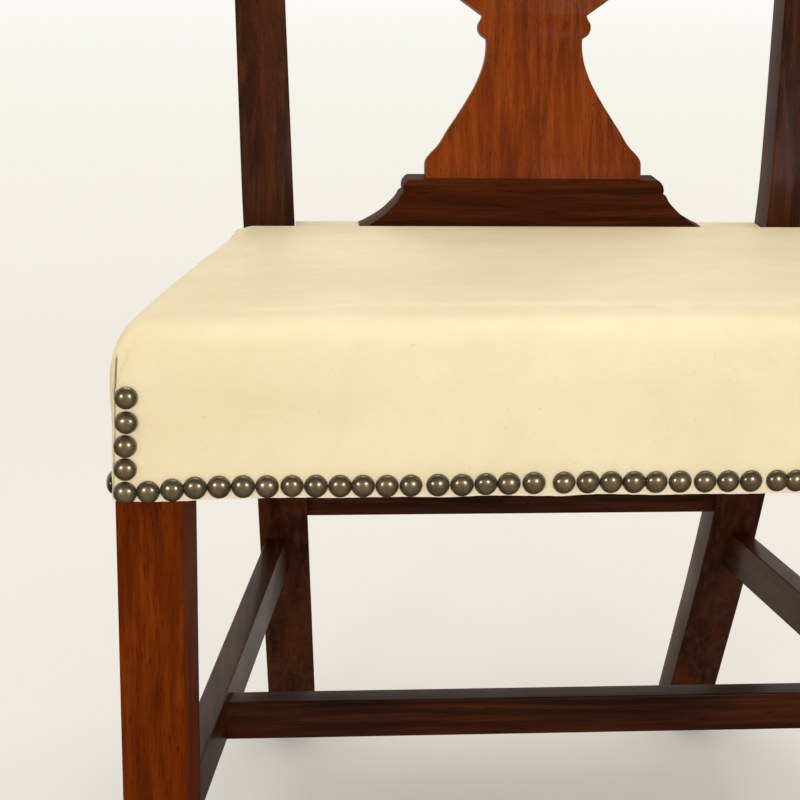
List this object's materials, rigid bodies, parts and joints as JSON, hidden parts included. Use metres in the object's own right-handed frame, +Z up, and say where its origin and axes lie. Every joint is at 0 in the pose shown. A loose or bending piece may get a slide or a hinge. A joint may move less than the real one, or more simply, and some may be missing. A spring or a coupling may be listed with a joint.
{
  "type": "lyre back dining chair",
  "caption": "Wooden dining chair with a pierced lyre back splat, shaped crest, stuffed leather seat with nail heads, square front legs and an H stretcher.",
  "frame": {"origin": "middle of the floor under the chair: bottom centre of its bounding box", "axes": "+Z up, +Y to the back of the chair, +X to the right as seen from the front"},
  "size_m": [0.5382, 0.597, 0.9653],
  "materials": {
    "mahogany": "gloss lacquer",
    "figured_mahogany": "gloss lacquer",
    "beech": "raw",
    "brass": "aged",
    "nail_brass": "antiqued",
    "steel": "plain",
    "webbing": "woven jute",
    "hessian": "woven",
    "stuffing": "soft",
    "cream_leather": "satin",
    "dust_cloth": "matt"
  },
  "bodies": {
    "root": {"block_screw_front_left_1": "steel", "block_screw_front_left_2": "steel", "block_screw_front_right_1": "steel", "block_screw_front_right_2": "steel", "block_screw_rear_left_1": "steel", "block_screw_rear_left_2": "steel", "block_screw_rear_right_1": "steel", "block_screw_rear_right_2": "steel", "corner_block_front_left": "beech", "corner_block_front_right": "beech", "corner_block_rear_left": "beech", "corner_block_rear_right": "beech", "crest_rail": "mahogany", "dust_cover": "dust_cloth", "front_leg_left": "mahogany", "front_leg_right": "mahogany", "front_rail": "beech", "glide_front_left": "steel", "glide_front_right": "steel", "glide_rear_left": "steel", "glide_rear_right": "steel", "hessian_layer": "hessian", "leather_cover": "cream_leather", "lyre_splat": "figured_mahogany", "lyre_string_1": "brass", "lyre_string_2": "brass", "lyre_string_3": "brass", "lyre_string_4": "brass", "lyre_string_5": "brass", "medial_stretcher": "mahogany", "rear_post_left": "mahogany", "rear_post_right": "mahogany", "rear_rail": "beech", "rear_stretcher": "mahogany", "seat_pad": "stuffing", "seat_web_across_1": "webbing", "seat_web_across_2": "webbing", "seat_web_across_3": "webbing", "seat_web_across_4": "webbing", "seat_web_along_1": "webbing", "seat_web_along_2": "webbing", "seat_web_along_3": "webbing", "seat_web_along_4": "webbing", "side_rail_left": "beech", "side_rail_right": "beech", "side_stretcher_left": "mahogany", "side_stretcher_right": "mahogany", "splat_shoe": "mahogany"}
  },
  "joints": []
}
